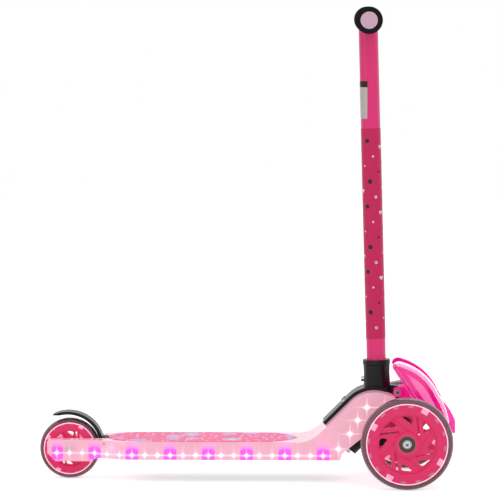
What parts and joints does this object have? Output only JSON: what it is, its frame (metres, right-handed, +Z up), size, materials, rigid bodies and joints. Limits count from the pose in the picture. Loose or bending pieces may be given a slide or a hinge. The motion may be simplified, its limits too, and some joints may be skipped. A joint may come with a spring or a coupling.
{
  "type": "kick scooter",
  "caption": "Child's kick scooter with lean-steered front wheels, a translucent lit deck, a T-bar, lit wheels and a rear foot brake.",
  "frame": {"origin": "ground plane under the middle of the overall length and width", "axes": "+X forward, +Y to the rider's left, +Z up"},
  "size_m": [0.549, 0.266, 0.6233],
  "materials": {
    "pink_shell": "translucent gloss",
    "black_plastic": "gloss",
    "dark_plastic": "matte",
    "print": "gloss print",
    "pink_paint": "gloss",
    "wrap_film": "satin film",
    "pale_patch": "reflective film",
    "steel": "zinc plated",
    "spring_steel": "oiled",
    "grip_rubber": "matte",
    "plug_plastic": "satin",
    "fairing_plastic": "translucent gloss",
    "core_plastic": "gloss",
    "clear_tyre": "clear urethane",
    "led_clear": "clear",
    "led_pink": "clear",
    "board": "solder mask",
    "cell": "satin",
    "elastomer": "matte",
    "button": "gloss",
    "nylon": "matte"
  },
  "bodies": {
    "deck": {"bar_plugs": "plug_plastic", "battery_box": "dark_plastic", "battery_cells": "cell", "battery_contacts": "spring_steel", "battery_door": "dark_plastic", "brake_pin": "steel", "brake_spring": "spring_steel", "collar_bush": "nylon", "control_board": "board", "cover_screws": "steel", "crossbar": "pink_paint", "deck_base_plate": "dark_plastic", "deck_graphic": "print", "deck_shell": "pink_shell", "fairing_led_board": "board", "fairing_leds": "led_clear", "fairing_lobe_left": "fairing_plastic", "fairing_lobe_right": "fairing_plastic", "fairing_screw": "steel", "fairing_shell": "fairing_plastic", "grip_left": "grip_rubber", "grip_right": "grip_rubber", "head_screws": "steel", "kingpin": "steel", "kingpin_nut": "steel", "led_strips": "board", "leds_magenta": "led_pink", "leds_white": "led_clear", "rear_axle": "steel", "rear_axle_caps": "pink_shell", "rear_axle_fittings": "steel", "reflector_patch": "pale_patch", "snap_spring": "spring_steel", "steering_head": "black_plastic", "stem_tube": "pink_paint", "stem_wrap": "wrap_film", "truck_spring": "elastomer"},
    "truck": {"truck_body": "dark_plastic", "front_axle_bolts": "steel"},
    "front_left": {"front_left_wheel_band": "core_plastic", "front_left_wheel_bearings": "steel", "front_left_wheel_core": "core_plastic", "front_left_wheel_leds": "led_clear", "front_left_wheel_spacer": "steel", "front_left_wheel_tyre": "clear_tyre"},
    "front_right": {"front_right_wheel_band": "core_plastic", "front_right_wheel_bearings": "steel", "front_right_wheel_core": "core_plastic", "front_right_wheel_leds": "led_clear", "front_right_wheel_spacer": "steel", "front_right_wheel_tyre": "clear_tyre"},
    "rear": {"rear_wheel_band": "core_plastic", "rear_wheel_bearings": "steel", "rear_wheel_core": "core_plastic", "rear_wheel_leds": "led_clear", "rear_wheel_spacer": "steel", "rear_wheel_tyre": "clear_tyre"},
    "brake": {"brake_lever": "black_plastic"},
    "snap": {"snap_button": "steel"},
    "light_switch": {"light_button": "button"}
  },
  "joints": [
    {"name": "lean_steer", "type": "hinge", "parent": "deck", "child": "truck", "pos_m": [0.155, 0, 0.063], "axis": [0.7071, 0, 0.7071], "range_deg": [-14, 14], "stiffness_Nm_per_rad": 40, "deforming": ["truck_spring"]},
    {"name": "front_left_spin", "type": "hinge", "parent": "truck", "child": "front_left", "pos_m": [0.2095, 0.0995, 0.06], "axis": [0, 1, 0], "continuous": true},
    {"name": "front_right_spin", "type": "hinge", "parent": "truck", "child": "front_right", "pos_m": [0.2095, -0.0995, 0.06], "axis": [0, 1, 0], "continuous": true},
    {"name": "rear_spin", "type": "hinge", "parent": "deck", "child": "rear", "pos_m": [-0.2345, 0, 0.04], "axis": [0, 1, 0], "continuous": true},
    {"name": "brake_press", "type": "hinge", "parent": "deck", "child": "brake", "pos_m": [-0.1875, 0, 0.05], "axis": [0, -1, 0], "range_deg": [0, 5.5], "stiffness_Nm_per_rad": 2, "springref_deg": -8.59, "deforming": ["brake_spring"]},
    {"name": "snap_button_press", "type": "slide", "parent": "deck", "child": "snap", "axis": [1, 0, 0], "range_m": [0, 0.003], "stiffness_N_per_m": 1500, "springref_m": -0.001, "deforming": ["snap_spring"]},
    {"name": "light_button_press", "type": "slide", "parent": "deck", "child": "light_switch", "axis": [0, 0, 1], "range_m": [0, 0.0015], "stiffness_N_per_m": 800, "springref_m": -0.0005}
  ]
}
